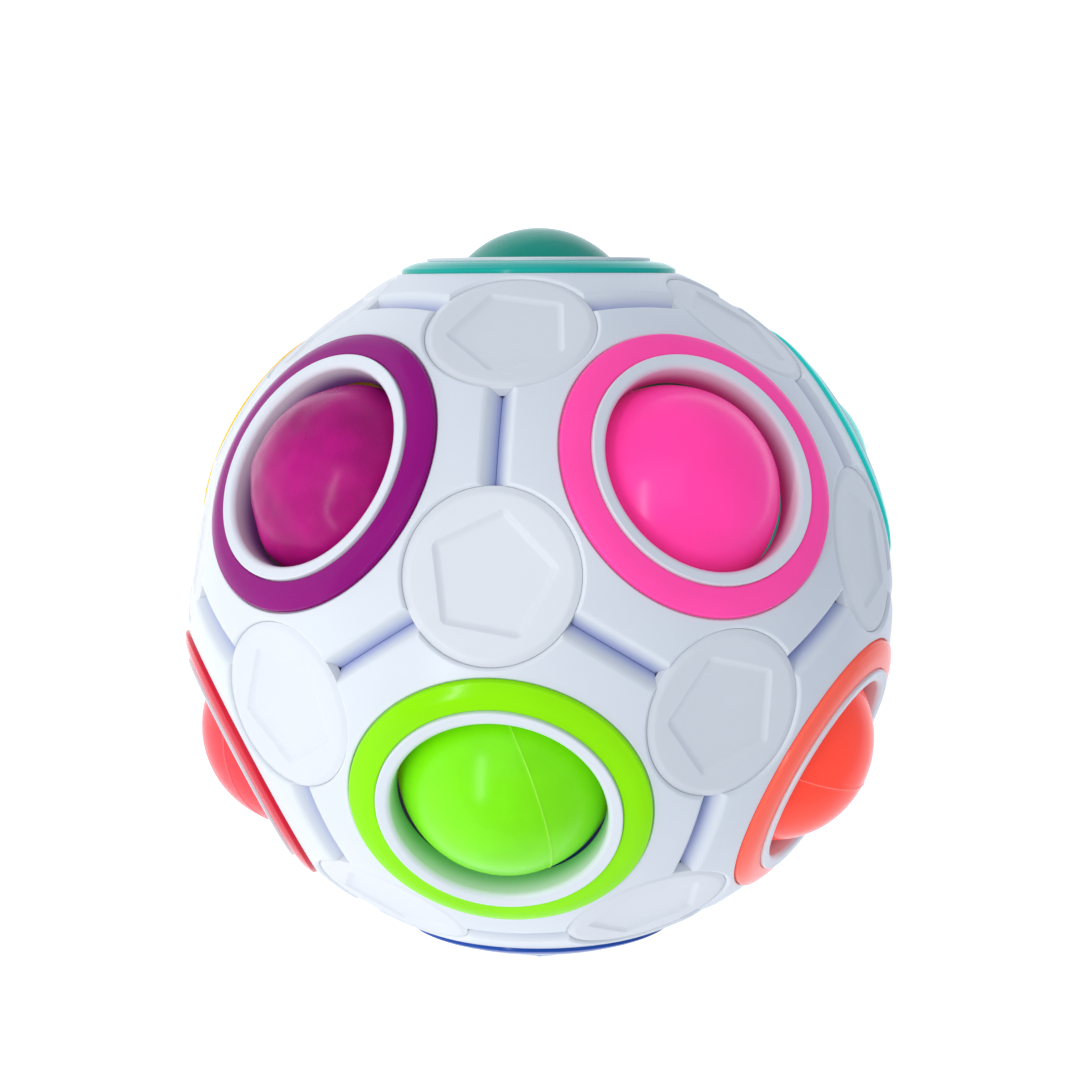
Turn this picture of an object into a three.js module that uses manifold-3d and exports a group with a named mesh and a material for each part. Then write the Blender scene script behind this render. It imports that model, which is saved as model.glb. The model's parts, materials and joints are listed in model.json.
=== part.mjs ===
// Ball-shifting puzzle sphere, in millimetres, +Z up.
//
// Twelve five-sided shell panels close into a hollow sphere. Each panel has a collared hole
// with a coloured trim ring round it, and a round cap snaps into every corner where three
// panels meet and ties them together. Eleven coloured balls sit behind the twelve holes and a
// hollow elastic core pushes them outwards, so a ball is pressed in and rolled under the
// shell into the empty hole. The sphere rests on the flat collar rim of that empty hole:
// the origin is the centre of that rim, and +Z runs up to the pink panel on the far side.

import * as THREE from "three";
import { mergeVertices } from "three/addons/utils/BufferGeometryUtils.js";
import Module from "manifold-3d";

// --- Driving dimensions -------------------------------------------------------------------

const SHELL_R = 35;
const SHELL_WALL = 3.2;

// Collar round each hole. Radii are from the panel's own axis, heights from the centre.
const RIM_HEIGHT = 33.7;
const COLLAR_R = 11;
const RIM_BORE_R = 9.7;
const THROAT_R = 9.4;
const THROAT_HEIGHT = 31.45;
const THROAT_BACK_R = 9.9;

// Channel that the trim ring drops into, and the ring.
const CHANNEL_R = 13.6;
const CHANNEL_FLOOR = 31.9;
const RING_GAP = 0.2;
const RING_OUTER_TOP = 32.55;
const RING_CROWN = 33.15;
const RING_INNER_TOP = 33.4;

// Joints between the panels: a narrow gap under a bevelled groove.
const PANEL_GAP = 0.3;
const GROOVE_WIDTH = 1.2;
const GROOVE_DEPTH = 1;

// Corner caps, their recess in the shell and their snap-in stem.
const RECESS_R = 7.8;
const RECESS_FLOOR = 32.5;
const CAP_R = 7.6;
const CAP_TOP = 34;
const CAP_CHAMFER = 0.3;
const CAP_BOTTOM = 32.8;
const STEM_HOLE_R = 2.9;
const STEM_R = 2.5;
const BARB_R = 3.5;
const BARB_TOP = 31.3;
const STEM_TIP = 29.6;
const STEM_TIP_R = 2.2;
const PENTAGON_R = 5.9;
const PENTAGON_DEPTH = 0.25;

// Balls and the elastic core behind them.
const BALL_R = 10;
const BALL_CENTRE = 26.7;
const CORE_R = 16.4;
const CORE_WALL = 1.2;
const VENT_R = 1.5;

// How finely round shapes are divided.
const HOLE_SEGMENTS = 20;
const CAP_SEGMENTS = 12;
const RECESS_SEGMENTS = 15;
const BALL_DETAIL = 2;
const CORE_DETAIL = 2;
const ARC_STEPS = 2;

// A height well outside the sphere, for tools that cut right through the shell.
const OUTSIDE = 40;

// --- Layout -------------------------------------------------------------------------------

// Angles of a regular dodecahedron, seen from its centre.
const FACE_TO_FACE = Math.atan(2);
const FACE_TO_EDGE = FACE_TO_FACE / 2;
const FACE_TO_CORNER = Math.acos(Math.sqrt((5 + 2 * Math.sqrt(5)) / 15));
const FIFTH = (2 * Math.PI) / 5;

// One panel each: the colour of its trim ring and of its ball, and how much further out than
// the others the core holds that ball. The last panel has no ball.
const TOP = { name: "pink", ring: 0xfc53b2, ball: 0xfb49a8, proud: 0.4 };
const UPPER = [
  { name: "purple", ring: 0x93178a, ball: 0xbd1883, proud: 0.8 },
  { name: "lime", ring: 0x9bee19, ball: 0x6fe003, proud: 0.1 },
  { name: "coral", ring: 0xfd6950, ball: 0xfd4c3c, proud: 0.6 },
  { name: "turquoise", ring: 0x2dcdc3, ball: 0x2ec4bb },
  { name: "teal", ring: 0x1aa098, ball: 0x04927b },
];
const LOWER = [
  { name: "red", ring: 0xc81e32, ball: 0xf7434a },
  { name: "blue", ring: 0x1e4696, ball: 0x3c6ed2 },
  { name: "sky", ring: 0x2d9be6, ball: 0x3aa7ef },
  { name: "yellow", ring: 0xf5d21e, ball: 0xfadc28 },
  { name: "amber", ring: 0xf08c1e, ball: 0xf79a28 },
];
const BOTTOM = { name: "violet", ring: 0x5a32b4 };

// The upper panels start at this azimuth, and the lower ones half a step further round.
const FIRST_AZIMUTH = THREE.MathUtils.degToRad(-162);

// Each cap is pressed in at its own turn, in degrees about its axis, so the sunken pentagons
// point every way. The caps are in the order that capCorners() finds the corners.
const CAP_TURNS = [50, 21, 28, 10, 0, 28, 52, 35, 6, 14, 57, 68, 41, 22, 63, 36, 11, 47, 26, 60];

// --- Finishes -----------------------------------------------------------------------------

const WHITE_PLASTIC = { color: 0xdfe3ec, roughness: 0.35, metalness: 0 };
const CAP_PLASTIC = { color: 0xdde2ec, roughness: 0.4, metalness: 0 };
const SOFT_RUBBER = { color: 0xd9d6cf, roughness: 0.75, metalness: 0 };
const COLOURED_PLASTIC = { roughness: 0.3, metalness: 0 };

// --- Solids -------------------------------------------------------------------------------

const wasm = await Module();
wasm.setup();

// A closed three.js geometry as a manifold-3d solid, without the triangles that a profile's
// points on the axis make collapse.
function toSolid(geometry) {
  geometry.deleteAttribute("normal");
  geometry.deleteAttribute("uv");
  const merged = mergeVertices(geometry, 1e-4);
  const triVerts = [];
  for (let i = 0; i < merged.index.count; i += 3) {
    const [a, b, c] = [0, 1, 2].map((k) => merged.index.getX(i + k));
    if (a !== b && b !== c && c !== a) triVerts.push(a, b, c);
  }
  return new wasm.Manifold(
    new wasm.Mesh({
      numProp: 3,
      vertProperties: merged.attributes.position.array,
      triVerts: Uint32Array.from(triVerts),
    }),
  );
}

// A manifold-3d solid as a three.js geometry.
function toGeometry(solid) {
  const mesh = solid.getMesh();
  return new THREE.BufferGeometry()
    .setAttribute("position", new THREE.BufferAttribute(mesh.vertProperties, 3))
    .setIndex(new THREE.BufferAttribute(mesh.triVerts, 1));
}

// A profile of [radius, height] points, listed anticlockwise, turned about +Z. One that
// doesn't start on the axis is closed onto its first point.
function turned(profile, segments) {
  const points = profile.map(([r, h]) => new THREE.Vector2(r, h));
  if (points[0].x > 0) points.push(points[0].clone());
  return new THREE.LatheGeometry(points, segments).rotateX(Math.PI / 2);
}

// Profile points along an arc about the sphere's centre, from one polar angle to another.
function sphereArc(radius, from, to, steps) {
  return Array.from({ length: steps + 1 }, (_, i) => {
    const polar = from + ((to - from) * i) / steps;
    return [radius * Math.sin(polar), radius * Math.cos(polar)];
  });
}

// A five-sided cone on +Z whose flats face azimuth 0, 72, 144, 216 and 288 degrees. Its apex
// may be above its base or below it.
function fiveSidedCone(baseApothem, baseHeight, apexHeight) {
  const height = Math.abs(apexHeight - baseHeight);
  const quarterTurn = (Math.sign(apexHeight - baseHeight) * Math.PI) / 2;
  const cone = new THREE.ConeGeometry(baseApothem / Math.cos(FIFTH / 2), height, 5)
    .rotateX(quarterTurn)
    .rotateZ(-quarterTurn)
    .translate(0, 0, (apexHeight + baseHeight) / 2);
  return toSolid(cone);
}

// A direction at a polar angle from +Z and an azimuth.
function direction(polar, azimuth) {
  return new THREE.Vector3(
    Math.sin(polar) * Math.cos(azimuth),
    Math.sin(polar) * Math.sin(azimuth),
    Math.cos(polar),
  );
}

// The turn that takes local +Z onto an axis, and local +X towards another direction.
function facing(axis, towards) {
  const x = towards.clone().addScaledVector(axis, -towards.dot(axis)).normalize();
  const y = new THREE.Vector3().crossVectors(axis, x);
  const basis = new THREE.Matrix4().makeBasis(x, y, axis);
  return new THREE.Quaternion().setFromRotationMatrix(basis);
}

// --- One of each piece, on +Z with the sphere's centre at the origin ------------------------

// The tool that cuts a cap's recess and stem hole, turned onto a panel's corner.
function cornerCutter(azimuth) {
  const cutter = turned(
    [
      [0, BALL_CENTRE],
      [STEM_HOLE_R, BALL_CENTRE],
      [STEM_HOLE_R, RECESS_FLOOR],
      [RECESS_R, RECESS_FLOOR],
      [RECESS_R, OUTSIDE],
      [0, OUTSIDE],
    ],
    RECESS_SEGMENTS,
  );
  return toSolid(cutter.rotateY(FACE_TO_CORNER).rotateZ(azimuth));
}

// A panel: a turned dished shell with its collar and ring channel, cut to a pentagon.
function panelGeometry() {
  const innerR = SHELL_R - SHELL_WALL;
  const beyondCorner = FACE_TO_CORNER + 0.05;
  const profile = [
    [RIM_BORE_R, RIM_HEIGHT],
    [THROAT_R, THROAT_HEIGHT],
    ...sphereArc(innerR, Math.asin(THROAT_BACK_R / innerR), beyondCorner, ARC_STEPS),
    ...sphereArc(SHELL_R, beyondCorner, Math.asin(CHANNEL_R / SHELL_R), ARC_STEPS),
    [CHANNEL_R, CHANNEL_FLOOR],
    [COLLAR_R, CHANNEL_FLOOR],
    [COLLAR_R, RIM_HEIGHT],
  ];

  // The joint plane leans outwards with the direction of the panel's edge.
  const halfGap = PANEL_GAP / 2;
  const jointApex = halfGap / Math.sin(FACE_TO_EDGE);
  const jointApothem = (OUTSIDE - jointApex) * Math.tan(FACE_TO_EDGE);

  // The bevel plane runs through the foot and the top of the groove at the edge's middle.
  const edgePoint = (radius, inset) => [
    radius * Math.sin(FACE_TO_EDGE) - inset * Math.cos(FACE_TO_EDGE),
    radius * Math.cos(FACE_TO_EDGE) + inset * Math.sin(FACE_TO_EDGE),
  ];
  const [footR, footHeight] = edgePoint(SHELL_R - GROOVE_DEPTH, halfGap);
  const [topR, topHeight] = edgePoint(SHELL_R, halfGap + GROOVE_WIDTH);
  const slope = (topHeight - footHeight) / (footR - topR);
  const bevelApex = topHeight + topR * slope;
  const bevelApothem = bevelApex / slope;

  let panel = toSolid(turned(profile, HOLE_SEGMENTS))
    .intersect(fiveSidedCone(jointApothem, OUTSIDE, jointApex))
    .intersect(fiveSidedCone(bevelApothem, 0, bevelApex));
  for (let corner = 0; corner < 5; corner++) {
    panel = panel.subtract(cornerCutter((corner + 0.5) * FIFTH));
  }
  return toGeometry(panel);
}

// A trim ring with a crowned face that rises towards the collar.
function ringGeometry() {
  const innerR = COLLAR_R + RING_GAP;
  const outerR = CHANNEL_R - RING_GAP;
  const bottom = CHANNEL_FLOOR + RING_GAP;
  return toGeometry(
    toSolid(
      turned(
        [
          [innerR, RING_INNER_TOP],
          [innerR, bottom],
          [outerR, bottom],
          [outerR, RING_OUTER_TOP],
          [(innerR + outerR) / 2, RING_CROWN],
        ],
        HOLE_SEGMENTS,
      ),
    ),
  );
}

// A corner cap: a disc with a sunken pentagon, on a stem whose barb snaps under the shell.
function capGeometry() {
  const cap = turned(
    [
      [0, STEM_TIP],
      [STEM_TIP_R, STEM_TIP],
      [BARB_R, BARB_TOP],
      [STEM_R, BARB_TOP],
      [STEM_R, CAP_BOTTOM],
      [CAP_R, CAP_BOTTOM],
      [CAP_R, CAP_TOP - CAP_CHAMFER],
      [CAP_R - CAP_CHAMFER, CAP_TOP],
      [0, CAP_TOP],
    ],
    CAP_SEGMENTS,
  );
  const sink = new THREE.CylinderGeometry(PENTAGON_R, PENTAGON_R, 2 * PENTAGON_DEPTH, 5)
    .rotateX(Math.PI / 2)
    .rotateZ(Math.PI / 2)
    .translate(0, 0, CAP_TOP);
  return toGeometry(toSolid(cap).subtract(toSolid(sink)));
}

// A ball with one vertex straight out of the hole.
function ballGeometry() {
  const vertexTilt = Math.atan(2 / (1 + Math.sqrt(5)));
  return new THREE.IcosahedronGeometry(BALL_R, BALL_DETAIL).rotateX(vertexTilt);
}

// The hollow core, with the vent that lets it be squeezed.
function coreGeometry() {
  const outside = toSolid(new THREE.IcosahedronGeometry(CORE_R, CORE_DETAIL));
  const inside = toSolid(new THREE.IcosahedronGeometry(CORE_R - CORE_WALL, CORE_DETAIL));
  const vent = new THREE.CylinderGeometry(VENT_R, VENT_R, CORE_R, 10)
    .rotateX(Math.PI / 2)
    .translate(0, 0, -CORE_R);
  return toGeometry(outside.subtract(inside).subtract(toSolid(vent)));
}

// --- Assembly -----------------------------------------------------------------------------

// Every panel with the direction of its axis.
function panelLayout() {
  const ringOf = (panels, polar, start) =>
    panels.map((panel, i) => ({ ...panel, axis: direction(polar, start + i * FIFTH) }));
  return [
    { ...TOP, axis: direction(0, 0) },
    ...ringOf(UPPER, FACE_TO_FACE, FIRST_AZIMUTH),
    ...ringOf(LOWER, Math.PI - FACE_TO_FACE, FIRST_AZIMUTH + FIFTH / 2),
    { ...BOTTOM, axis: direction(Math.PI, 0) },
  ];
}

const touching = (a, b) => Math.abs(a.dot(b) - Math.cos(FACE_TO_FACE)) < 0.01;

// Every corner where three panels meet, from the top of the sphere down and then round it.
function capCorners(panels) {
  const corners = [];
  panels.forEach((a, i) =>
    panels.slice(i + 1).forEach((b, j) =>
      panels.slice(i + j + 2).forEach((c) => {
        const meet =
          touching(a.axis, b.axis) && touching(b.axis, c.axis) && touching(c.axis, a.axis);
        if (!meet) return;
        const axis = a.axis.clone().add(b.axis).add(c.axis).normalize();
        corners.push({ axis, towards: a.axis });
      }),
    ),
  );
  const azimuth = (v) => (Math.atan2(v.y, v.x) - FIRST_AZIMUTH + 4 * Math.PI) % (2 * Math.PI);
  const level = (v) => Math.round(v.z * 100);
  return corners.sort(
    (p, q) => level(q.axis) - level(p.axis) || azimuth(p.axis) - azimuth(q.axis),
  );
}

const puzzle = new THREE.Group();
puzzle.name = "ball_shifting_puzzle";
puzzle.position.z = RIM_HEIGHT;

function addPiece(parent, name, geometry, finish) {
  const material = new THREE.MeshStandardMaterial({ ...finish, flatShading: true });
  const mesh = new THREE.Mesh(geometry, material);
  mesh.name = name;
  parent.add(mesh);
  return mesh;
}

const panelShape = panelGeometry();
const ringShape = ringGeometry();
const capShape = capGeometry();
const ballShape = ballGeometry();
const panels = panelLayout();

panels.forEach((panel) => {
  const station = new THREE.Group();
  const neighbour = panels.find((other) => touching(panel.axis, other.axis));
  station.quaternion.copy(facing(panel.axis, neighbour.axis));
  puzzle.add(station);

  addPiece(station, `panel_${panel.name}`, panelShape, WHITE_PLASTIC);
  addPiece(station, `ring_${panel.name}`, ringShape, { ...COLOURED_PLASTIC, color: panel.ring });
  if (panel.ball === undefined) return;
  const finish = { ...COLOURED_PLASTIC, color: panel.ball };
  const ball = addPiece(station, `ball_${panel.name}`, ballShape, finish);
  ball.position.z = BALL_CENTRE + (panel.proud ?? 0);
});

capCorners(panels).forEach(({ axis, towards }, i) => {
  const cap = addPiece(puzzle, `cap_${String(i + 1).padStart(2, "0")}`, capShape, CAP_PLASTIC);
  cap.quaternion.copy(facing(axis, towards));
  cap.rotateZ(THREE.MathUtils.degToRad(CAP_TURNS[i]));
});

addPiece(puzzle, "elastic_core", coreGeometry(), SOFT_RUBBER);

export default puzzle;
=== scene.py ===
"""Ball-shifting puzzle sphere: the visible pieces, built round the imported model.

The sphere comes apart into twelve white panels with a collared hole each, a coloured trim
ring round every collar, twenty snap-in corner caps, eleven coloured balls and a hollow
rubber core. One of each is modelled on the bench, standing on +Z with the sphere's centre
at the origin and sized in millimetres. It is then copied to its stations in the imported
model's frame, in metres.
"""

import json
import logging
import math
from dataclasses import dataclass
from enum import Enum

import bpy
from mathutils import Matrix, Vector

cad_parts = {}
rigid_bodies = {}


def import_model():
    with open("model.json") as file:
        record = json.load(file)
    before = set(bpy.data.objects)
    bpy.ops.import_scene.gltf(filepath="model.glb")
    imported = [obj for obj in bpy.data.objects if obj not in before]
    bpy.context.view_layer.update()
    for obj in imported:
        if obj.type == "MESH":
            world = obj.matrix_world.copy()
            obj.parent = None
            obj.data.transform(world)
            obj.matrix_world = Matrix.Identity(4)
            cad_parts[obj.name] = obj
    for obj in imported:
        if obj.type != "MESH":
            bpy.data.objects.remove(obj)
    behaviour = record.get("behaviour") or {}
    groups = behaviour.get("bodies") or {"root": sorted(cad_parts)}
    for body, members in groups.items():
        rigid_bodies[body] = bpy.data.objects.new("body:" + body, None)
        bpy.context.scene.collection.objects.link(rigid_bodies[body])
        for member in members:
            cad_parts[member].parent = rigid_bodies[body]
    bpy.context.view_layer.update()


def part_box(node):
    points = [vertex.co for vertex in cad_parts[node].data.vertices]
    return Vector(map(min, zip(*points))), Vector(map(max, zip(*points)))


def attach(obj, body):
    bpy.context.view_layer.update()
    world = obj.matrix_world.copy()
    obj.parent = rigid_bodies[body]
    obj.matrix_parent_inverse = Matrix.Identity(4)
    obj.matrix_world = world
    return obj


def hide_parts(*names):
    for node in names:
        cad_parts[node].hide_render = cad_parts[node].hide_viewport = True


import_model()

LOG = logging.getLogger("puzzle_sphere")

MILLIMETRE = 0.001
FIFTH = 72.0

# Angles of a regular dodecahedron seen from its centre, in degrees.
FACE_TO_FACE = math.degrees(math.atan(2))
FACE_TO_EDGE = FACE_TO_FACE / 2
FACE_TO_CORNER = math.degrees(math.acos(math.sqrt((5 + 2 * math.sqrt(5)) / 15)))

Outline = list[tuple[float, float]]
Corner = tuple[float, float, float]


# --- The twelve holes -----------------------------------------------------------------------


class Level(Enum):
    """How high on the sphere a hole faces: its elevation in degrees."""

    TOP = 90.0
    UPPER = 90.0 - FACE_TO_FACE
    LOWER = FACE_TO_FACE - 90.0
    BOTTOM = -90.0


class BallCast(Enum):
    """How a ball came out of its mould: the depth of its soft dents in millimetres."""

    EVEN = 0.06
    DENTED = 0.55


@dataclass(frozen=True)
class Ball:
    """A ball's own plastic, how it was cast and how it happens to lie in its seat.

    Args:
        colour: Colour of the plastic as a hexadecimal string.
        painted_glow: Strength of a painted glow, light that the plastic gives off though it is
            no lamp.
        seam_axis: Direction that the moulding line's plane faces.
        cast: How evenly the ball was moulded.
    """

    colour: str
    painted_glow: float
    seam_axis: tuple[float, float, float]
    cast: BallCast = BallCast.EVEN


@dataclass(frozen=True)
class Hole:
    """One of the twelve holes and what belongs to it.

    Args:
        name: Colour name that its pieces share.
        level: How high on the sphere it faces.
        azimuth: Direction it faces, in degrees from +X.
        ring_colour: Colour of the trim ring as a hexadecimal string.
        throat_shade: Colour of the painted shade in its throat, tinted with its ball's reflected
            colour, as a hexadecimal string.
        ball: The ball in it, or None for the empty hole.
    """

    name: str
    level: Level
    azimuth: float
    ring_colour: str
    throat_shade: str
    ball: Ball | None

    @property
    def axis(self) -> Vector:
        """Unit direction out of the hole."""
        rise, round_z = math.radians(self.level.value), math.radians(self.azimuth)
        flat = math.cos(rise)
        return Vector((flat * math.cos(round_z), flat * math.sin(round_z), math.sin(rise)))


# Each ball's number is the strength of its painted glow.
# Each hole's second colour is its throat's painted shade, tinted with the ball's reflected
# colour.
HOLES = [
    Hole("pink", Level.TOP, 0, "#fb4a9e", "#b0508c", Ball("#fb3c98", 0.24, (0.1, 0.1, 0.99))),
    Hole("purple", Level.UPPER, -162, "#86066e", "#86549c",
         Ball("#aa0a70", 0.03, (-0.851, -0.276, 0.447), BallCast.DENTED)),
    Hole("lime", Level.UPPER, -90, "#88dc00", "#8cc890",
         Ball("#7ce200", 0.14, (0.635, 0.684, 0.359))),
    Hole("coral", Level.UPPER, -18, "#fd6450", "#b88a90",
         Ball("#fd4834", 0.3, (-0.157, 0.715, 0.681))),
    Hole("turquoise", Level.UPPER, 54, "#22cbbd", "#8fb8bd",
         Ball("#10c4b4", 0.3, (0.5, 0.75, 0.44))),
    Hole("teal", Level.UPPER, 126, "#12a092", "#7fa8a4",
         Ball("#048f78", 0.03, (-0.53, 0.72, 0.45))),
    Hole("red", Level.LOWER, -126, "#c81e32", "#b07078",
         Ball("#f33c44", 0.08, (0.5, -0.2, 0.84))),
    Hole("blue", Level.LOWER, -54, "#1e4696", "#7c8cb4",
         Ball("#3c6ed2", 0.05, (0.9, 0.4, 0.2))),
    Hole("sky", Level.LOWER, 18, "#2d9be6", "#8cacc8",
         Ball("#3aa7ef", 0.05, (0.1, 0.7, 0.7))),
    Hole("yellow", Level.LOWER, 90, "#f5d21e", "#c8bc90",
         Ball("#fadc28", 0.08, (0.7, 0.3, -0.6))),
    Hole("amber", Level.LOWER, 162, "#fcc02e", "#c8a884",
         Ball("#fcb022", 0.08, (-0.2, 0.8, 0.5))),
    Hole("violet", Level.BOTTOM, 0, "#5a32b4", "#a8a4bc", None),
]


# --- Bench work -------------------------------------------------------------------------------


def settle() -> None:
    """Leave edit mode and deselect everything."""
    active = bpy.context.view_layer.objects.active
    if active is not None and active.mode != "OBJECT":
        bpy.ops.object.mode_set(mode="OBJECT")
    for obj in bpy.context.scene.objects:
        if obj.select_get():
            obj.select_set(False)


def take_up(obj: bpy.types.Object) -> None:
    """Make one object the selected and active one."""
    settle()
    obj.select_set(True)
    bpy.context.view_layer.objects.active = obj


def arc(radius: float, start: float, end: float, steps: int) -> Outline:
    """Points on a circle about the sphere's centre.

    Args:
        radius: Radius of the circle.
        start: Polar angle of the first point from the axis, in degrees.
        end: Polar angle of the last point, in degrees.
        steps: Number of stretches between the points.

    Returns:
        The points as (distance from the axis, height).
    """
    points = []
    for i in range(steps + 1):
        polar = math.radians(start + (end - start) * i / steps)
        points.append((radius * math.sin(polar), radius * math.cos(polar)))
    return points


def sharp(points: Outline) -> list[Corner]:
    """The points as corners with no rounding."""
    return [(r, h, 0.0) for r, h in points]


def rounded(corners: list[Corner], closed: bool, step: float = 12.0) -> Outline:
    """Round the corners of an outline.

    Args:
        corners: Corners as (distance from the axis, height, radius of the rounding).
        closed: True if the last corner joins on to the first.
        step: Largest turn between neighbouring points of a rounding, in degrees.

    Returns:
        The outline's points, with each rounding as an arc.
    """
    outline: Outline = []
    count = len(corners)
    for i, (r, h, radius) in enumerate(corners):
        at_end = not closed and i in (0, count - 1)
        if radius == 0 or at_end:
            outline.append((r, h))
            continue
        here = Vector((r, h))
        back = (Vector(corners[i - 1][:2]) - here).normalized()
        on = (Vector(corners[(i + 1) % count][:2]) - here).normalized()
        half = back.angle(on) / 2
        middle = here + (back + on).normalized() * (radius / math.sin(half))
        first = here + back * (radius / math.tan(half)) - middle
        turn = first.angle_signed(here + on * (radius / math.tan(half)) - middle)
        stretches = max(2, math.ceil(abs(math.degrees(turn)) / step))
        for k in range(stretches + 1):
            swung = first.copy()
            swung.rotate(Matrix.Rotation(-turn * k / stretches, 2))
            outline.append(tuple(middle + swung))
    return outline


def turned(name: str, outline: Outline, steps: int, closed: bool) -> bpy.types.Object:
    """Turn a piece on the lathe: draw its outline in the XZ plane and spin it about +Z.

    Args:
        name: Name of the new object.
        outline: Points as (distance from the axis, height).
        steps: Number of stretches round the axis.
        closed: True if the outline is a closed loop. Otherwise it runs from axis to axis.

    Returns:
        The turned object, with its normals facing out.
    """
    settle()
    path = outline + outline[:1] if closed else outline
    bpy.ops.mesh.primitive_plane_add(size=1, location=(path[0][0], 0, path[0][1]))
    piece = bpy.context.object
    piece.name = name
    bpy.ops.object.transform_apply(location=True, rotation=False, scale=False)
    bpy.ops.object.mode_set(mode="EDIT")
    bpy.ops.mesh.select_mode(type="VERT")
    bpy.ops.mesh.select_all(action="SELECT")
    bpy.ops.mesh.merge(type="CENTER")
    for (r0, h0), (r1, h1) in zip(path, path[1:]):
        step = {"value": (r1 - r0, 0, h1 - h0)}
        bpy.ops.mesh.extrude_region_move(TRANSFORM_OT_translate=step)
    bpy.ops.mesh.select_all(action="SELECT")
    bpy.ops.mesh.spin(steps=steps, angle=2 * math.pi, center=(0, 0, 0), axis=(0, 0, 1))
    bpy.ops.mesh.select_all(action="SELECT")
    bpy.ops.mesh.remove_doubles(threshold=0.0005)
    bpy.ops.mesh.normals_make_consistent(inside=False)
    bpy.ops.object.mode_set(mode="OBJECT")
    return piece


def swing(obj: bpy.types.Object, polar: float, azimuth: float) -> bpy.types.Object:
    """Tip a piece from +Z by a polar angle, then turn it to an azimuth, both in degrees."""
    take_up(obj)
    tip = Matrix.Rotation(math.radians(polar), 4, "Y")
    obj.matrix_world = Matrix.Rotation(math.radians(azimuth), 4, "Z") @ tip
    bpy.ops.object.transform_apply(location=True, rotation=True, scale=True)
    return obj


def copied(obj: bpy.types.Object, name: str) -> bpy.types.Object:
    """Copy a piece together with its mesh."""
    twin = obj.copy()
    twin.data = obj.data.copy()
    twin.name = name
    twin.data.name = name
    bpy.context.scene.collection.objects.link(twin)
    return twin


def scrap(*objects: bpy.types.Object) -> None:
    """Clear finished tools and patterns off the bench."""
    for obj in objects:
        bpy.data.objects.remove(obj)


def apply_modifier(obj: bpy.types.Object, kind: str, **settings: object) -> None:
    """Add a modifier to a piece and apply it.

    Args:
        obj: The piece.
        kind: The modifier's type.
        **settings: The modifier's own settings.
    """
    take_up(obj)
    modifier = obj.modifiers.new(kind.lower(), kind)
    for setting, value in settings.items():
        setattr(modifier, setting, value)
    bpy.ops.object.modifier_apply(modifier=modifier.name)


def cut(body: bpy.types.Object, tool: bpy.types.Object) -> None:
    """Cut a tool's shape out of a body, and drop the empty material slot that it leaves."""
    apply_modifier(body, "BOOLEAN", operation="DIFFERENCE", solver="MANIFOLD", object=tool)
    body.data.materials.clear()


def finish_surface(obj: bpy.types.Object, crease: float = 32.0) -> None:
    """Smooth a piece's shading up to a crease angle in degrees, led by its larger faces."""
    take_up(obj)
    bpy.ops.object.shade_smooth_by_angle(angle=math.radians(crease))
    apply_modifier(obj, "WEIGHTED_NORMAL", mode="FACE_AREA", keep_sharp=True)


def facing(axis: Vector, towards: Vector) -> Matrix:
    """The turn that takes local +Z on to an axis and local +X towards a direction."""
    x = (towards - axis * towards.dot(axis)).normalized()
    y = axis.cross(x)
    return Matrix((x, y, axis)).transposed().to_4x4()


# --- Finishes ---------------------------------------------------------------------------------

PLASTIC_IOR = 1.5

# Sizes of the patches in every finish, in millimetres, and the smudges' share of the haze.
HANDLED_SIZE = 12.0
SMUDGE_SIZE = 1.3
SMUDGE_SHARE = 0.2
GRAIN_SIZE = 0.35

# How far a ball's moulding line goes from the ball's colour to white.
SEAM_PALENESS = 0.22


def linear(colour: str) -> tuple[float, float, float, float]:
    """A hexadecimal display colour as linear red, green, blue and alpha."""
    channels = [int(colour[i : i + 2], 16) / 255 for i in (1, 3, 5)]
    low = [c / 12.92 if c <= 0.04045 else ((c + 0.055) / 1.055) ** 2.4 for c in channels]
    return (low[0], low[1], low[2], 1.0)


def scaled(colour: tuple[float, ...], factor: float) -> tuple[float, float, float, float]:
    """A linear colour made lighter or darker, kept within range."""
    r, g, b = (min(1.0, c * factor) for c in colour[:3])
    return (r, g, b, 1.0)


@dataclass(frozen=True)
class PaintedShade:
    """Painted shade that darkens a piece towards the inside of the sphere; in a throat it is
    tinted with the ball's reflected colour.

    Args:
        centre: Centre of the sphere in metres.
        start: Distance from the centre where it starts, in millimetres.
        full: Distance from the centre where the painted shade is strongest, in millimetres.
        colour: Its colour there as a hexadecimal string.
    """

    centre: Vector
    start: float
    full: float
    colour: str


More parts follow.
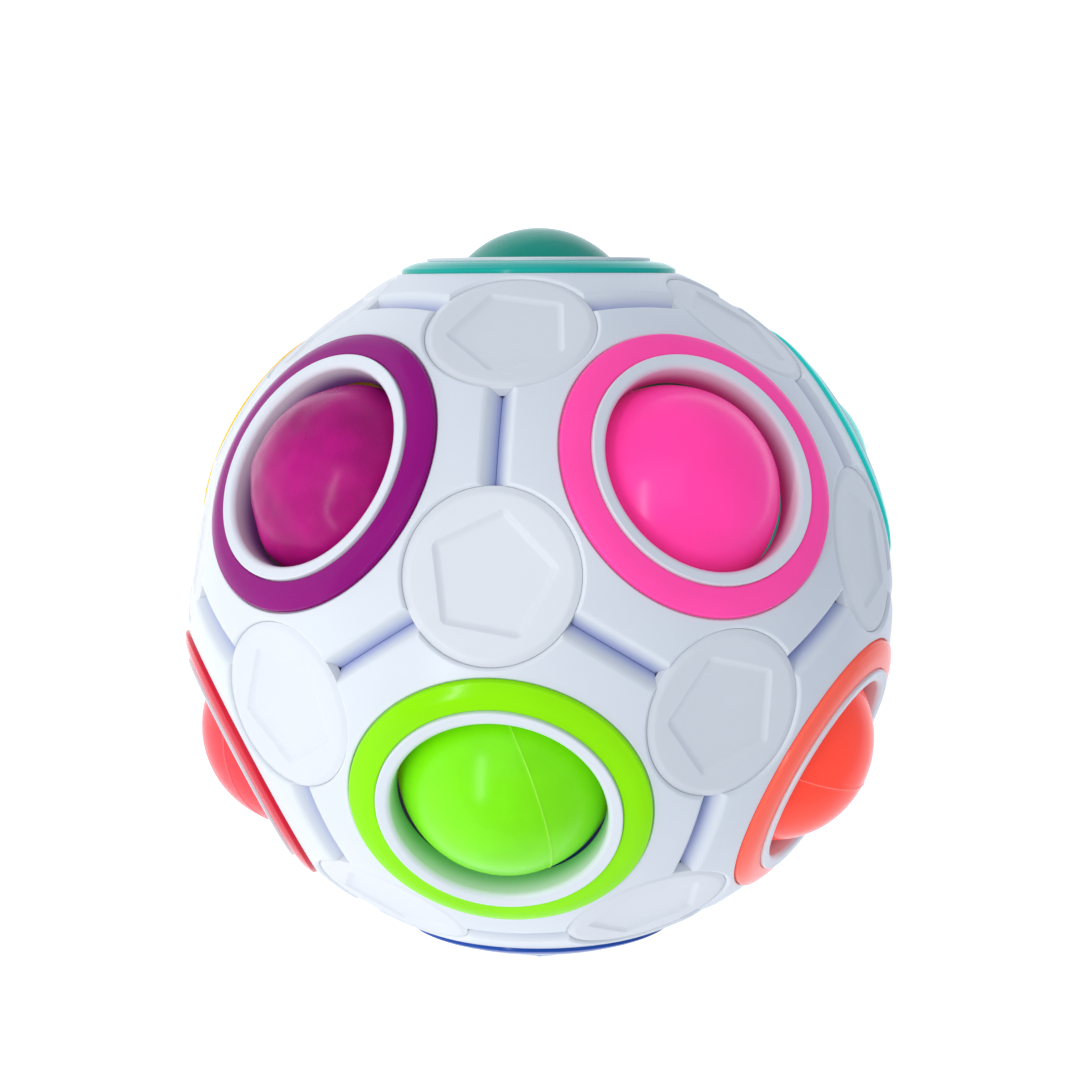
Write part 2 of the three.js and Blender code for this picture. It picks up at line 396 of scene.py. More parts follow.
@dataclass(frozen=True)
class Moulding:
    """A moulded plastic or rubber finish.

    Args:
        colour: Colour of the stock as a hexadecimal string.
        drift: How far the pigment drifts lighter and darker over the piece.
        drift_size: Size of the drifting patches in millimetres.
        polish: Roughness where the mould was smoothest.
        haze: Roughness where the surface is most handled.
        flow: Depth of the soft flow marks in millimetres.
        flow_size: Spacing of the flow marks in millimetres.
        grain: Depth of the fine mould grain in millimetres.
        depth: How far light travels inside the stock, in millimetres.
        glow: Share of the light that goes through the stock.
        painted_glow: Strength of a painted glow, light that the plastic gives off though it is
            no lamp.
        shine: Strength of the surface reflection.
    """

    colour: str
    drift: float = 0.05
    drift_size: float = 9.0
    polish: float = 0.3
    haze: float = 0.42
    flow: float = 0.02
    flow_size: float = 7.0
    grain: float = 0.0016
    depth: float = 1.0
    glow: float = 0.08
    painted_glow: float = 0.0
    shine: float = 0.5

    def mixed(self, name: str, painted_shade: PaintedShade | None = None) -> bpy.types.Material:
        """Mix the finish into a material.

        Args:
            name: Name of the material.
            painted_shade: Painted shade towards the sphere's centre, or None for a piece without
                it.

        Returns:
            The material, patterned in object coordinates.
        """
        mixer = Mixer.started(name)
        surface = mixer.pigment(self)
        # Painted shade: the colour darkens towards the sphere's centre, in grooves, recesses and
        # throats.
        if painted_shade is not None:
            surface = mixer.shaded_inwards(surface, painted_shade)
        inputs = mixer.shader.inputs
        mixer.join(surface, inputs["Base Color"])
        mixer.join(mixer.handling(self), inputs["Roughness"])
        mixer.join(mixer.relief(self), inputs["Normal"])
        inputs["IOR"].default_value = PLASTIC_IOR
        inputs["Subsurface Weight"].default_value = self.glow
        inputs["Subsurface Radius"].default_value = (1.0, 1.0, 1.0)
        inputs["Subsurface Scale"].default_value = self.depth * MILLIMETRE
        inputs["Specular IOR Level"].default_value = self.shine
        # Painted glow: the stock gives off light in its own colour though it is no lamp.
        inputs["Emission Color"].default_value = linear(self.colour)
        inputs["Emission Strength"].default_value = self.painted_glow
        return mixer.material


@dataclass
class Mixer:
    """The node tree of a material that is being mixed.

    Args:
        material: The material.
        place: The object coordinates that its patterns lie in.
    """

    material: bpy.types.Material
    place: bpy.types.NodeSocket

    @classmethod
    def started(cls, name: str) -> "Mixer":
        """Start a new material under a name."""
        material = bpy.data.materials.new(name)
        material.use_nodes = True
        coordinates = material.node_tree.nodes.new("ShaderNodeTexCoord")
        return cls(material, coordinates.outputs["Object"])

    @property
    def shader(self) -> bpy.types.Node:
        """The material's surface shader."""
        return self.material.node_tree.nodes["Principled BSDF"]

    def add(self, kind: str) -> bpy.types.Node:
        """Add a node of a kind."""
        return self.material.node_tree.nodes.new(kind)

    def join(self, source: bpy.types.NodeSocket, target: bpy.types.NodeSocket) -> None:
        """Link one socket to another."""
        self.material.node_tree.links.new(source, target)

    def noise(self, size: float, detail: float) -> bpy.types.NodeSocket:
        """A soft noise whose patches have a size in millimetres."""
        node = self.add("ShaderNodeTexNoise")
        node.inputs["Scale"].default_value = 1 / (size * MILLIMETRE)
        node.inputs["Detail"].default_value = detail
        self.join(self.place, node.inputs["Vector"])
        return node.outputs["Fac"]

    def spread(
        self, source: bpy.types.NodeSocket, low: float, high: float
    ) -> bpy.types.NodeSocket:
        """Spread a noise's middle range between two values."""
        node = self.add("ShaderNodeMapRange")
        node.inputs["From Min"].default_value = 0.3
        node.inputs["From Max"].default_value = 0.7
        node.inputs["To Min"].default_value = low
        node.inputs["To Max"].default_value = high
        self.join(source, node.inputs["Value"])
        return node.outputs["Result"]

    def pigment(self, stock: Moulding) -> bpy.types.NodeSocket:
        """The stock's colour, drifting lighter and darker."""
        ramp = self.add("ShaderNodeValToRGB")
        low, high = ramp.color_ramp.elements
        low.position, high.position = 0.32, 0.68
        low.color = scaled(linear(stock.colour), 1 - stock.drift)
        high.color = scaled(linear(stock.colour), 1 + stock.drift)
        self.join(self.noise(stock.drift_size, 3.0), ramp.inputs["Fac"])
        return ramp.outputs["Color"]

    def shaded_inwards(
        self, surface: bpy.types.NodeSocket, painted_shade: PaintedShade
    ) -> bpy.types.NodeSocket:
        """The surface colour, darkened by painted shade towards the sphere's centre."""
        reach = self.add("ShaderNodeVectorMath")
        reach.operation = "DISTANCE"
        self.join(self.place, reach.inputs[0])
        reach.inputs[1].default_value = painted_shade.centre
        depth = self.add("ShaderNodeMapRange")
        depth.interpolation_type = "SMOOTHSTEP"
        depth.inputs["From Min"].default_value = painted_shade.start * MILLIMETRE
        depth.inputs["From Max"].default_value = painted_shade.full * MILLIMETRE
        self.join(reach.outputs["Value"], depth.inputs["Value"])
        coat = self.add("ShaderNodeMix")
        coat.data_type = "RGBA"
        self.join(depth.outputs["Result"], coat.inputs["Factor"])
        self.join(surface, coat.inputs["A"])
        coat.inputs["B"].default_value = linear(painted_shade.colour)
        return coat.outputs["Result"]

    def handling(self, stock: Moulding) -> bpy.types.NodeSocket:
        """Roughness from polished to hazy, with small smudges added."""
        total = self.add("ShaderNodeMath")
        total.operation = "MULTIPLY_ADD"
        self.join(self.spread(self.noise(SMUDGE_SIZE, 4.0), -1, 1), total.inputs[0])
        total.inputs[1].default_value = (stock.haze - stock.polish) * SMUDGE_SHARE
        patches = self.noise(HANDLED_SIZE, 2.0)
        self.join(self.spread(patches, stock.polish, stock.haze), total.inputs[2])
        return total.outputs["Value"]

    def relief(self, stock: Moulding) -> bpy.types.NodeSocket:
        """The bump of the flow marks, with the mould's grain on top."""
        flow = self.bump(stock.flow_size, stock.flow)
        grain = self.bump(GRAIN_SIZE, stock.grain)
        self.join(flow.outputs["Normal"], grain.inputs["Normal"])
        return grain.outputs["Normal"]

    def bump(self, size: float, rise: float) -> bpy.types.Node:
        """A bump of noise, with its patches' size and depth in millimetres."""
        node = self.add("ShaderNodeBump")
        node.inputs["Distance"].default_value = rise * MILLIMETRE
        self.join(self.noise(size, 2.0), node.inputs["Height"])
        return node


SHELL_STOCK = Moulding("#dbdfe0", drift=0.012, polish=0.3, haze=0.4, flow=0.03)
CAP_STOCK = Moulding("#dadddd", drift=0.012, polish=0.36, haze=0.46, flow=0.02)
RUBBER_STOCK = Moulding(
    "#d9d6cf", drift=0.05, polish=0.62, haze=0.8, flow=0.06, grain=0.006, glow=0.15
)


def ring_stock(colour: str) -> Moulding:
    """The polished plastic of a trim ring in one colour."""
    # The ring carries a painted glow in its own colour.
    return Moulding(
        colour, drift=0.04, polish=0.1, haze=0.2, flow=0.006, grain=0.0008, glow=0.04,
        painted_glow=0.17, shine=0.13,
    )


def ball_stock(ball: Ball) -> Moulding:
    """The waxy plastic of one ball: satin, or duller and mottled on a dented one."""
    dented = ball.cast is BallCast.DENTED
    drift, polish, haze = (0.2, 0.26, 0.42) if dented else (0.06, 0.14, 0.26)
    # The ball carries its painted glow in its own colour.
    return Moulding(
        ball.colour, drift=drift, drift_size=5.0, polish=polish, haze=haze, flow=0.03,
        glow=0.2, painted_glow=ball.painted_glow, depth=2.0, shine=0.18 if dented else 0.24,
    )


def seam_stock(ball: Ball) -> Moulding:
    """The paler, stressed plastic along a ball's moulding line."""
    pale = [round(c + (255 - c) * SEAM_PALENESS) for c in bytes.fromhex(ball.colour[1:])]
    # The seam carries the ball's painted glow.
    return Moulding(
        "#" + bytes(pale).hex(), drift=0.08, drift_size=2.0, polish=0.35, haze=0.5,
        painted_glow=ball.painted_glow, shine=0.3,
    )


# --- Sub-assemblies ---------------------------------------------------------------------------


@dataclass
class Station:
    """Where pieces go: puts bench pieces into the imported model's frame.

    Args:
        centre: Centre of the sphere in metres.
    """

    centre: Vector

    def seat(
        self, piece: bpy.types.Object, turn: Matrix, body: str, node: str, slot: str,
        *materials: bpy.types.Material,
    ) -> None:
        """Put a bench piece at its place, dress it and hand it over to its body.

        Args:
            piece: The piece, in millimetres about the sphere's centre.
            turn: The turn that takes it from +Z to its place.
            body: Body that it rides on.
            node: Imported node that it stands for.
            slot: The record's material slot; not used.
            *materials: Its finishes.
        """
        take_up(piece)
        shift = Matrix.Translation(self.centre)
        piece.matrix_world = shift @ Matrix.Scale(MILLIMETRE, 4) @ turn
        bpy.ops.object.transform_apply(location=True, rotation=True, scale=True)
        for material in materials:
            piece.data.materials.append(material)
        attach(piece, body)
        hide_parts(node)
        LOG.info("%s rides on %s, %d faces", piece.name, body, len(piece.data.polygons))


@dataclass
class ShellPanels:
    """The twelve white panels, each a dished pentagon with a collar and a ring channel.

    Radii are from the panel's axis and heights from the sphere's centre, in millimetres.
    Painted bluish shade darkens the grooves and recesses, and painted shade tinted with the
    ball's reflected colour darkens the throat, each from its start to its full distance from the
    sphere's centre.
    """

    shell_radius: float = 35.0
    wall: float = 3.2
    rim_height: float = 33.7
    rim_bore: float = 9.7
    rim_rounding: float = 0.55
    collar_radius: float = 11.0
    collar_rounding: float = 0.14
    throat_radius: float = 9.43
    throat_height: float = 30.85
    throat_back: float = 9.9
    throat_rounding: float = 0.2
    channel_radius: float = 13.6
    channel_floor: float = 31.9
    channel_rounding: float = 0.16
    channel_fillet: float = 0.1
    joint_gap: float = 0.02
    groove_width: float = 1.3
    groove_depth: float = 1.5
    groove_shoulder: float = 0.8
    recess_radius: float = 7.8
    recess_floor: float = 32.5
    recess_shoulder: float = 0.4
    stem_hole: float = 2.9
    entry_angle: float = 10.0
    beyond_corner: float = 5.0
    round_steps: int = 180
    tool_steps: int = 240
    outside: float = 40.0
    tool_width: float = 12.0
    # Painted shade: a bluish colour for grooves and recesses, and a ball-tinted one for the
    # throat.
    recess_shade: str = "#8f9ad0"
    recess_shade_start: float = 34.82
    recess_shade_full: float = 33.0
    throat_shade_start: float = 34.7
    throat_shade_full: float = 32.6

    def dish(self) -> bpy.types.Object:
        """Turn the round dish that the pentagon is cut from."""
        inner = self.shell_radius - self.wall
        brim = FACE_TO_CORNER + self.beyond_corner
        back = math.degrees(math.asin(self.throat_back / inner))
        edge = math.degrees(math.asin(self.channel_radius / self.shell_radius))
        edge_r, edge_h = arc(self.shell_radius, edge, edge, 1)[0]
        corners = [
            *sharp(arc(inner, back, brim, 10)),
            *sharp(arc(self.shell_radius, brim, edge, 18)[:-1]),
            (edge_r, edge_h, self.channel_rounding),
            (self.channel_radius, self.channel_floor, self.channel_fillet),
            (self.collar_radius, self.channel_floor, self.channel_fillet),
            (self.collar_radius, self.rim_height, self.collar_rounding),
            (self.rim_bore, self.rim_height, self.rim_rounding),
            (self.throat_radius, self.throat_height, self.throat_rounding),
        ]
        return turned("panel_pattern", rounded(corners, closed=True), self.round_steps, True)

    def shoulder_reach(self, shoulder: float) -> float:
        """Distance of a shoulder's centre from the sphere's, so that it meets the shell."""
        entry = math.cos(math.radians(self.entry_angle))
        return math.sqrt(
            self.shell_radius**2 + shoulder**2 - 2 * self.shell_radius * shoulder * entry
        )

    def shoulder_arc(self, middle: Vector, shoulder: float, start: float) -> Outline:
        """A rounded shoulder from a wall up to the shell, and on out past it.

        Args:
            middle: Centre of the shoulder's arc.
            shoulder: Radius of the arc.
            start: Direction from the centre to the wall, in degrees.

        Returns:
            The arc's points and one beyond the shell.
        """
        end = math.degrees(math.atan2(middle.y, middle.x))
        steps = max(3, math.ceil(abs(start - end) / 8))
        points = []
        for i in range(steps + 1):
            angle = math.radians(start + (end - start) * i / steps)
            points.append(tuple(middle + Vector((math.cos(angle), math.sin(angle))) * shoulder))
        points.append(tuple(middle.normalized() * self.outside))
        return points

    def groove_tool(self) -> bpy.types.Object:
        """The tool for one edge: the joint's plane with the bevelled groove above it."""
        foot = Vector((self.shell_radius - self.groove_depth, -self.joint_gap))
        slope = Vector((self.groove_depth, -self.groove_width)).normalized()
        inwards = Vector((slope.y, -slope.x))
        start = foot + inwards * self.groove_shoulder
        along = start.dot(slope)
        reach = self.shoulder_reach(self.groove_shoulder)
        travel = math.sqrt(along**2 - start.length_squared + reach**2) - along
        middle = start + slope * travel
        wall = math.degrees(math.atan2(-inwards.y, -inwards.x))
        below = self.shell_radius - 2 * self.wall
        outline = [
            (below, -self.joint_gap),
            tuple(foot),
            *self.shoulder_arc(middle, self.groove_shoulder, wall),
            (self.outside, self.tool_width),
            (below, self.tool_width),
        ]
        return turned("groove_tool", outline, self.tool_steps, closed=True)

    def recess_tool(self) -> bpy.types.Object:
        """The tool for one corner: a third of the cap's recess and of its stem hole."""
        reach = self.shoulder_reach(self.recess_shoulder)
        out = self.recess_radius + self.recess_shoulder
        middle = Vector((out, math.sqrt(reach**2 - out**2)))
        below = self.shell_radius - 2 * self.wall
        outline = [
            (0.0, below),
            (self.stem_hole, below),
            (self.stem_hole, self.recess_floor),
            (self.recess_radius, self.recess_floor),
            *self.shoulder_arc(middle, self.recess_shoulder, 180.0),
            (0.0, self.outside + 1),
        ]
        return turned("recess_tool", outline, self.tool_steps // 2, closed=False)

    def pattern(self) -> bpy.types.Object:
        """Cut one finished panel, with flats at azimuth 0, 72, 144, 216 and 288 degrees."""
        panel = self.dish()
        groove, recess = self.groove_tool(), self.recess_tool()
        for side in range(5):
            tool = swing(copied(groove, "groove_cut"), 90 + FACE_TO_EDGE, side * FIFTH)
            cut(panel, tool)
            scrap(tool)
        for corner in range(5):
            azimuth = (corner + 0.5) * FIFTH
            tool = swing(copied(recess, "recess_cut"), FACE_TO_CORNER, azimuth)
            cut(panel, tool)
            scrap(tool)
        scrap(groove, recess)
        finish_surface(panel)
        self.mark_throat(panel)
        return panel

    def mark_throat(self, panel: bpy.types.Object) -> None:
        """Give the throat's wall the second finish, which carries the painted shade tinted with
        the ball's reflected colour.
        """
        for face in panel.data.polygons:
            out = math.hypot(face.center.x, face.center.y)
            face.material_index = int(out < self.rim_bore + self.rim_rounding / 2)

    def build(self, station: Station) -> None:
        """Model one panel and seat a copy of it round every hole."""
        pattern = self.pattern()
        # Painted shade: a bluish colour that deepens towards the sphere's centre, over the
        # grooves and recesses of every panel.
        recess_shade = PaintedShade(station.centre, self.recess_shade_start, self.recess_shade_full, self.recess_shade)
        white = SHELL_STOCK.mixed("white_shell_plastic", recess_shade)
        for hole in HOLES:
            panel = copied(pattern, f"shell_panel_{hole.name}")
            turn = facing(hole.axis, neighbour_of(hole).axis)
            # Painted shade in the throat, tinted with the ball's reflected colour.
            throat_shade = PaintedShade(station.centre, self.throat_shade_start, self.throat_shade_full, hole.throat_shade)
            throat = SHELL_STOCK.mixed(f"{hole.name}_throat_plastic", throat_shade)
            name = f"panel_{hole.name}"
            station.seat(panel, turn, "shell", name, "white_shell", white, throat)
        scrap(pattern)


@dataclass
class TrimRings:
    """The twelve coloured rings, each in the channel round a collar, in millimetres."""

    inner_radius: float = 11.02
    outer_radius: float = 13.52
    bottom: float = 32.0
    outer_top: float = 32.6
    crown: float = 33.2
    inner_top: float = 33.42
    edge_rounding: float = 0.22
    crown_rounding: float = 2.5
    crown_lift: float = 0.06
    foot_rounding: float = 0.1
    round_steps: int = 160

    def pattern(self) -> bpy.types.Object:
        """Turn one ring with a crowned face that rises towards the collar."""
        middle = (self.inner_radius + self.outer_radius) / 2
        quarter = (self.outer_radius - self.inner_radius) / 4
        shoulder = (self.outer_top + self.crown) / 2 + self.crown_lift
        corners = [
            (self.inner_radius, self.bottom, self.foot_rounding),
            (self.outer_radius, self.bottom, self.foot_rounding),
            (self.outer_radius, self.outer_top, self.edge_rounding),
            (middle + quarter, shoulder, self.crown_rounding),
            (middle, self.crown, self.crown_rounding),
            (self.inner_radius, self.inner_top, self.edge_rounding),
        ]
        outline = rounded(corners, closed=True, step=6.0)
        ring = turned("ring_pattern", outline, self.round_steps, closed=True)
        finish_surface(ring)
        return ring

    def build(self, station: Station) -> None:
        """Model one ring and seat a coloured copy of it in every panel."""
        pattern = self.pattern()
        for hole in HOLES:
            ring = copied(pattern, f"trim_ring_{hole.name}")
            turn = facing(hole.axis, neighbour_of(hole).axis)
            colour = ring_stock(hole.ring_colour).mixed(f"{hole.name}_ring_plastic")
            name = f"ring_{hole.name}"
            station.seat(ring, turn, "shell", name, name, colour)
        scrap(pattern)


@dataclass
class CornerCaps:
    """The twenty snap-in caps with their sunken pentagons, in millimetres and degrees.

    Each cap was pressed in at its own turn, listed from the top of the sphere down.
    """

    radius: float = 7.79
    top: float = 34.02
    bottom: float = 32.8
    rim_drop: float = 0.26
    rim_width: float = 0.62
    rim_rounding: float = 0.9
    stem_radius: float = 2.5
    barb_radius: float = 3.5
    barb_top: float = 31.3
    tip: float = 29.6
    tip_radius: float = 2.2
    pentagon_radius: float = 5.95
    pentagon_depth: float = 0.25
    pentagon_draft: float = 0.42
    pentagon_rounding: float = 0.35
    edge_softness: float = 0.17
    round_steps: int = 120
    turns: tuple[float, ...] = (
        50, 21, 28, 10, 0, 28, 52, 35, 6, 14, 57, 68, 41, 22, 63, 36, 11, 47, 26, 60,
    )

    def pentagon_tool(self) -> bpy.types.Object:
        """The tapered five-sided tool that sinks the pentagon."""
        settle()
        lift = 1.0
        spread = self.pentagon_draft / self.pentagon_depth
        bpy.ops.mesh.primitive_cone_add(
            vertices=5,
            radius1=self.pentagon_radius - self.pentagon_draft,
            radius2=self.pentagon_radius + lift * spread,
            depth=lift + self.pentagon_depth,
            location=(0, 0, self.top + (lift - self.pentagon_depth) / 2),
            rotation=(0, 0, -math.pi / 2),
        )
        tool = bpy.context.object
        bpy.ops.object.transform_apply(location=True, rotation=True, scale=True)
        for edge in tool.data.edges:
            ends = [tool.data.vertices[v].co.z for v in edge.vertices]
            edge.select = abs(ends[0] - ends[1]) > lift
        bpy.ops.object.mode_set(mode="EDIT")
        bpy.ops.mesh.select_mode(type="EDGE")
        bpy.ops.mesh.bevel(offset=self.pentagon_rounding, segments=3)
        bpy.ops.object.mode_set(mode="OBJECT")
        return tool

    def pattern(self) -> bpy.types.Object:
        """Turn one cap on its stem, sink its pentagon and soften the edges."""
        corners = [
            (0.0, self.tip, 0.0),
            (self.tip_radius, self.tip, 0.3),
            (self.barb_radius, self.barb_top, 0.2),
            (self.stem_radius, self.barb_top, 0.0),
            (self.stem_radius, self.bottom, 0.2),
            (self.radius, self.bottom, 0.1),
            (self.radius, self.top - self.rim_drop, 0.06),
            (self.radius - self.rim_width, self.top, self.rim_rounding),
            (0.0, self.top, 0.0),
        ]
        outline = rounded(corners, closed=False)
        cap = turned("cap_pattern", outline, self.round_steps, closed=False)
        tool = self.pentagon_tool()
        cut(cap, tool)
        scrap(tool)
        apply_modifier(
            cap, "BEVEL", width=self.edge_softness, segments=3, limit_method="ANGLE",
            angle_limit=math.radians(25), use_clamp_overlap=True,
        )
        finish_surface(cap)
        return cap

    def build(self, station: Station) -> None:
        """Model one cap and press a copy of it into every corner at its own turn."""
        pattern = self.pattern()
        white = CAP_STOCK.mixed("white_cap_plastic")
        for number, (corner, turn_angle) in enumerate(zip(corners_in_order(), self.turns), 1):
            axis, first = corner
            cap = copied(pattern, f"snap_cap_{number:02d}")
            spin = Matrix.Rotation(math.radians(turn_angle), 4, "Z")
            turn = facing(axis, first.axis) @ spin
            station.seat(cap, turn, "shell", f"cap_{number:02d}", "white_caps", white)
        scrap(pattern)


@dataclass
class PuzzleBalls:
    """The eleven coloured balls behind the holes, in millimetres."""

    radius: float = 10.0
    seam_width: float = 0.08
    seam_height: float = 0.05
    segments: int = 128
    rings: int = 84
    dent_size: float = 4.2
    smooth_angle: float = 60.0

    def pattern(self, cast: BallCast) -> bpy.types.Object:
        """Mould one ball with a fine raised seam round it and soft dents.

        Args:
            cast: How evenly it was moulded.

        Returns:
            The ball about its own centre, with the seam across +Z.
        """
        settle()
        bpy.ops.mesh.primitive_uv_sphere_add(
            segments=self.segments, ring_count=self.rings, radius=self.radius
        )
        ball = bpy.context.object
        ball.name = "ball_pattern"
        ball.data.materials.clear()
        self.raise_seam(ball)
        dents = bpy.data.textures.new("soft_dents", "CLOUDS")
        dents.noise_scale = self.dent_size
        dents.noise_depth = 1
        apply_modifier(
            ball, "DISPLACE", texture=dents, strength=cast.value, mid_level=1.0,
            texture_coords="LOCAL",
        )
        finish_surface(ball, crease=self.smooth_angle)
        return ball

    def raise_seam(self, ball: bpy.types.Object) -> None:
        """Split the ball's equator into a narrow band and lift its middle."""
        self.pick_equator(ball, self.radius * 0.001)
        bpy.ops.mesh.bevel(offset=self.seam_width, segments=4, affect="EDGES")
        bpy.ops.object.mode_set(mode="OBJECT")
        self.pick_equator(ball, self.seam_width * 0.55)
        lift = 1 + self.seam_height / self.radius
        bpy.ops.transform.resize(value=(lift, lift, 1))
        bpy.ops.object.mode_set(mode="OBJECT")
        for face in ball.data.polygons:
            face.material_index = int(abs(face.center.z) < self.seam_width)

    def pick_equator(self, ball: bpy.types.Object, reach: float) -> None:
        """Enter edit mode with the edges within reach of the equator's plane selected."""
        take_up(ball)
        bpy.ops.object.mode_set(mode="EDIT")
        bpy.ops.mesh.select_mode(type="EDGE")
        bpy.ops.mesh.select_all(action="DESELECT")
        bpy.ops.object.mode_set(mode="OBJECT")
        places = ball.data.vertices
        for edge in ball.data.edges:
            edge.select = all(abs(places[v].co.z) < reach for v in edge.vertices)
        bpy.ops.object.mode_set(mode="EDIT")

    def build(self, station: Station) -> None:
        """Mould a ball of each cast and seat a coloured copy behind every full hole."""
        patterns = {cast: self.pattern(cast) for cast in BallCast}
        for hole in HOLES:
            if hole.ball is None:
                continue
            ball = copied(patterns[hole.ball.cast], f"puzzle_ball_{hole.name}")
            name = f"ball_{hole.name}"
            low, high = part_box(name)
            place = ((low + high) / 2 - station.centre) / MILLIMETRE
            lie = facing(Vector(hole.ball.seam_axis).normalized(), hole.axis)
            turn = Matrix.Translation(place) @ lie
            colour = ball_stock(hole.ball).mixed(f"{hole.name}_ball_plastic")
            seam = seam_stock(hole.ball).mixed(f"{hole.name}_ball_seam")
            station.seat(ball, turn, name, name, name, colour, seam)
        scrap(*patterns.values())


@dataclass
class RubberCore:
    """The rubber core that pushes the balls outwards, in millimetres.

    It has a cup under every ball, as deep as that ball can be pressed in.
    """

    radius: float = 16.4
    press: float = 4.8
    clearance: float = 0.1
    cup_radius: float = 10.1
    vent_radius: float = 1.5
    vent_depth: float = 6.0
    lip: float = 0.35
    seam: float = 0.18
    round_steps: int = 120

    def blank(self) -> bpy.types.Object:
        """Turn the round core with its vent, from the vent's floor up to the top."""
        vent_out = 180 - math.degrees(math.asin((self.vent_radius + self.lip) / self.radius))
        seam_angle = math.degrees(self.seam / self.radius)
        lip_height = -self.radius - self.lip / 2
        corners = [
            (0.0, self.vent_depth - self.radius, 0.0),
            (self.vent_radius, self.vent_depth - self.radius, 0.2),
            (self.vent_radius, lip_height, 0.12),
            (self.vent_radius + self.lip, lip_height, 0.12),
            *sharp(arc(self.radius, vent_out, 90 + seam_angle, 24)),
            *sharp(arc(self.radius + self.seam, 90 + seam_angle / 3, 90 - seam_angle / 3, 2)),
            *sharp(arc(self.radius, 90 - seam_angle, 0, 24)),
        ]
        return turned("rubber_core", rounded(corners, closed=False), self.round_steps, False)

    def press_cup(self, core: bpy.types.Object, hole: Hole, centre: Vector) -> None:
        """Cut the cup under one ball.

        Args:
            core: The core, about the sphere's centre.
            hole: The ball's hole.
            centre: Centre of the sphere in metres.
        """
        low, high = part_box(f"ball_{hole.name}")
        seat = ((low + high) / 2 - centre).length / MILLIMETRE
        settle()
        bpy.ops.mesh.primitive_uv_sphere_add(
            segments=96, ring_count=64, radius=self.cup_radius,
            location=hole.axis * (seat - self.press - self.clearance),
        )
        tool = bpy.context.object
        bpy.ops.object.transform_apply(location=True, rotation=False, scale=False)
        cut(core, tool)
        scrap(tool)

    def build(self, station: Station) -> None:
        """Turn the core, cut its cups and seat it."""
        core = self.blank()
        for hole in HOLES:
            if hole.ball is not None:
                self.press_cup(core, hole, station.centre)
        finish_surface(core, crease=50.0)
        rubber = RUBBER_STOCK.mixed("soft_core_rubber")
        station.seat(core, Matrix.Identity(4), "shell", "elastic_core", "soft_core", rubber)


def touching(a: Hole, b: Hole) -> bool:
    """True if two holes are on panels that share an edge."""
    return abs(a.axis.dot(b.axis) - math.cos(math.radians(FACE_TO_FACE))) < 0.01


def neighbour_of(hole: Hole) -> Hole:
    """The first hole in the list that shares an edge with this one."""
    return next(other for other in HOLES if touching(hole, other))


def corners_in_order() -> list[tuple[Vector, Hole]]:
    """Every corner where three panels meet, from the top down and then round the sphere.

    Returns:
        Each corner's outward axis, and the first listed of its three holes.
    """
    corners = []
    for i, a in enumerate(HOLES):
        for j, b in enumerate(HOLES[i + 1 :], i + 1):
            for c in HOLES[j + 1 :]:
                if touching(a, b) and touching(b, c) and touching(c, a):
                    corners.append(((a.axis + b.axis + c.axis).normalized(), a))
    start = HOLES[1].azimuth

    def order(corner: tuple[Vector, Hole]) -> tuple[int, float]:
        """Level from the top down, then the azimuth from the second hole on."""
        axis = corner[0]
        azimuth = math.degrees(math.atan2(axis.y, axis.x))
        return (-round(axis.z * 100), (azimuth - start + 0.01) % 360)

    return sorted(corners, key=order)


# --- Studio -----------------------------------------------------------------------------------


@dataclass(frozen=True)
class SoftLight:
    """A rectangular light that looks at the sphere.

    Args:
        name: Name of the light.
        place: Where it hangs from the sphere's centre, to the picture's right, up and
            towards the camera, in metres.
        size: Its width and height in metres.
        power: Power in watts.
        colour: Colour of its light.
    """

    name: str
    place: tuple[float, float, float]
    size: tuple[float, float]
    power: float
    colour: tuple[float, float, float]


WARM_WHITE = (1.0, 0.98, 0.95)
PURE_WHITE = (1.0, 1.0, 1.0)
LIGHTS = (
    SoftLight("key_softbox", (-0.45, 0.1, 0.38), (0.4, 0.4), 0.2, WARM_WHITE),
    SoftLight("front_softbox", (-0.1, 0.12, 0.6), (0.5, 0.5), 0.48, WARM_WHITE),
    SoftLight("strip_window", (-0.24, -0.1, 0.47), (0.028, 0.42), 0.78, PURE_WHITE),
)


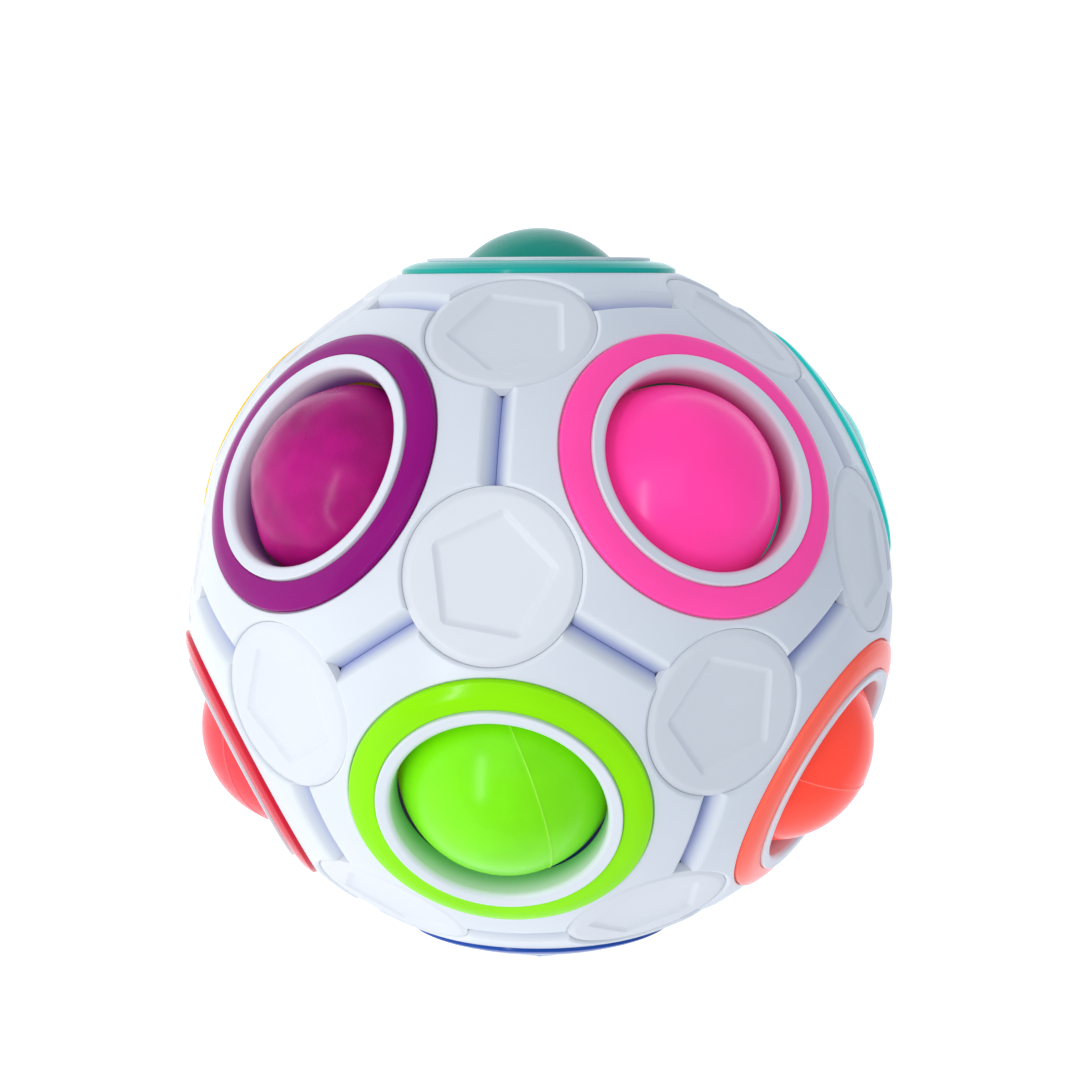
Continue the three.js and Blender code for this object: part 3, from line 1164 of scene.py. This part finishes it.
@dataclass
class Studio:
    """The floor, the lights and the camera round the sphere, in metres and degrees.

    Args:
        centre: Centre of the sphere.
    """

    centre: Vector
    view_azimuth: float = -115.05
    view_elevation: float = 56.87
    view_roll: float = 52.0
    view_distance: float = 0.22376
    aim_up: float = 1.453
    lens: float = 74.25
    near_clip: float = 0.01
    floor_size: float = 6.0
    floor_colour: tuple[float, ...] = (0.93, 0.94, 0.94, 1.0)
    floor_glow: float = 0.5
    sky_colour: tuple[float, ...] = (0.76, 0.83, 1.0, 1.0)
    sky_strength: float = 0.7

    def axes(self) -> tuple[Vector, Vector, Vector]:
        """The picture's right, up and back directions before the camera is aimed up."""
        rise, round_z = math.radians(self.view_elevation), math.radians(self.view_azimuth)
        flat = math.cos(rise)
        back = Vector((flat * math.cos(round_z), flat * math.sin(round_z), math.sin(rise)))
        level_up = (Vector((0, 0, 1)) - back * back.z).normalized()
        up = Matrix.Rotation(math.radians(self.view_roll), 3, back) @ level_up
        return up.cross(back), up, back

    def set_camera(self) -> None:
        """Stand the camera where it sees the sphere from the given side."""
        right, up, back = self.axes()
        data = bpy.data.cameras.new("camera")
        data.lens = self.lens
        data.clip_start = self.near_clip
        camera = bpy.data.objects.new("camera", data)
        bpy.context.scene.collection.objects.link(camera)
        aim = Matrix.Rotation(math.radians(self.aim_up), 3, right)
        basis = Matrix((right, aim @ up, aim @ back)).transposed().to_4x4()
        camera.matrix_world = Matrix.Translation(self.centre + back * self.view_distance) @ basis
        bpy.context.scene.camera = camera

    def hang(self, light: SoftLight) -> None:
        """Hang one light so that it looks at the sphere, upright in the picture."""
        right, up, back = self.axes()
        offset = right * light.place[0] + up * light.place[1] + back * light.place[2]
        data = bpy.data.lights.new(light.name, "AREA")
        data.shape = "RECTANGLE"
        data.size, data.size_y = light.size
        data.energy = light.power
        data.color = light.colour
        lamp = bpy.data.objects.new(light.name, data)
        bpy.context.scene.collection.objects.link(lamp)
        turn = facing(offset.normalized(), right)
        lamp.matrix_world = Matrix.Translation(self.centre + offset) @ turn

    def set_lights(self) -> None:
        """Light the sphere softly from the left, with a cool sky all round."""
        for light in LIGHTS:
            self.hang(light)
        world = bpy.data.worlds.new("pale_sky")
        world.use_nodes = True
        sky = world.node_tree.nodes["Background"]
        sky.inputs["Color"].default_value = self.sky_colour
        sky.inputs["Strength"].default_value = self.sky_strength
        bpy.context.scene.world = world
        bpy.context.scene.view_settings.view_transform = "Standard"

    def lay_floor(self) -> None:
        """Lay the plain pale floor under the sphere."""
        settle()
        bpy.ops.mesh.primitive_plane_add(size=self.floor_size, location=(0, 0, 0))
        floor = bpy.context.object
        floor.name = "pale_floor"
        material = bpy.data.materials.new("pale_floor_paint")
        material.use_nodes = True
        shader = material.node_tree.nodes["Principled BSDF"]
        shader.inputs["Base Color"].default_value = self.floor_colour
        shader.inputs["Roughness"].default_value = 0.9
        shader.inputs["Specular IOR Level"].default_value = 0.1
        shader.inputs["Emission Color"].default_value = (1.0, 1.0, 1.0, 1.0)
        shader.inputs["Emission Strength"].default_value = self.floor_glow
        floor.data.materials.append(material)

    def build(self) -> None:
        """Set up the floor, the lights and the camera."""
        self.lay_floor()
        self.set_lights()
        self.set_camera()


def sphere_centre() -> Vector:
    """The sphere's centre, halfway between the tops of the top and bottom trim rings."""
    top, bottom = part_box(f"ring_{HOLES[0].name}")[1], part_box(f"ring_{HOLES[-1].name}")[0]
    return Vector((0, 0, (top.z + bottom.z) / 2))


def main() -> None:
    """Build every sub-assembly in order, then the studio."""
    logging.basicConfig(level=logging.INFO, format="%(name)s: %(message)s")
    centre = sphere_centre()
    station = Station(centre)
    assemblies = [ShellPanels(), TrimRings(), CornerCaps(), PuzzleBalls(), RubberCore()]
    for assembly in assemblies:
        assembly.build(station)
    Studio(centre).build()


if __name__ == "__main__":
    main()
